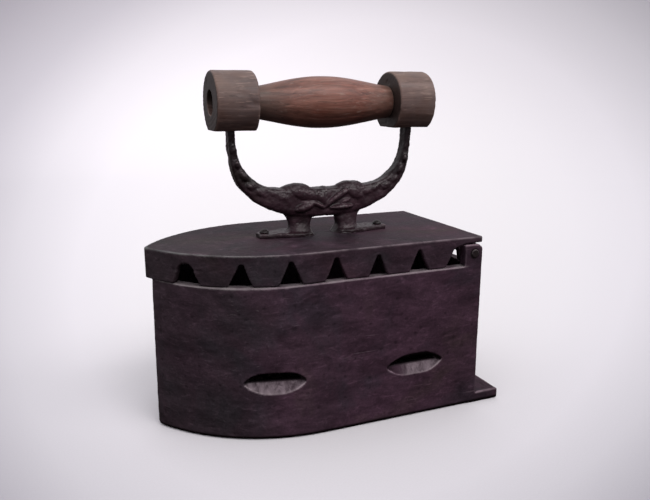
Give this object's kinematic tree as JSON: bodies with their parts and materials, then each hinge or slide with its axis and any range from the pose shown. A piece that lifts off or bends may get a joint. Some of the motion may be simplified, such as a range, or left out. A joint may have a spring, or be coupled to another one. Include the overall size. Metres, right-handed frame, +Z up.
{
  "type": "charcoal box iron",
  "caption": "Antique cast-iron charcoal iron: pointed box with scooped vents, hinged lid with a notched skirt, scrolled yoke and turned wooden handle.",
  "frame": {"origin": "on the ground, at the middle of the overall length and width", "axes": "+X from the nose to the heel, along the length; +Y across, so that the nose points to -X; +Z up"},
  "size_m": [0.2156, 0.1036, 0.2112],
  "materials": {
    "box_iron": "dark, rough as cast, rubbed at the edges",
    "lid_iron": "dark, rough as cast, rubbed at the edges",
    "yoke_iron": "dark, blackened by handling",
    "grate_iron": "burnt and scaled",
    "wrought_iron": "dark forged iron",
    "block_wood": "worn, greyed, end grain at the faces",
    "grip_wood": "polished by the hand, reddish"
  },
  "bodies": {
    "box": {"body": "box_iron", "hinge_rod": "wrought_iron"},
    "lid_assembly": {"lid": "lid_iron", "yoke": "yoke_iron", "front_foot_rivet": "wrought_iron", "rear_foot_rivet": "wrought_iron", "front_rivet_burr": "wrought_iron", "rear_rivet_burr": "wrought_iron", "front_block": "block_wood", "rear_block": "block_wood", "grip": "grip_wood", "handle_rod": "wrought_iron", "front_rod_washer": "wrought_iron", "rear_rod_washer": "wrought_iron", "rod_nut": "wrought_iron"},
    "grate": {"fire_grate": "grate_iron"}
  },
  "joints": [
    {"name": "lid_hinge", "type": "hinge", "parent": "box", "child": "lid_assembly", "pos_m": [0.0846, 0, 0.1012], "axis": [0, 1, 0], "range_deg": [0, 96]},
    {"name": "grate_lift", "type": "slide", "parent": "box", "child": "grate", "axis": [0, 0, 1], "range_m": [0, 0.04]}
  ]
}
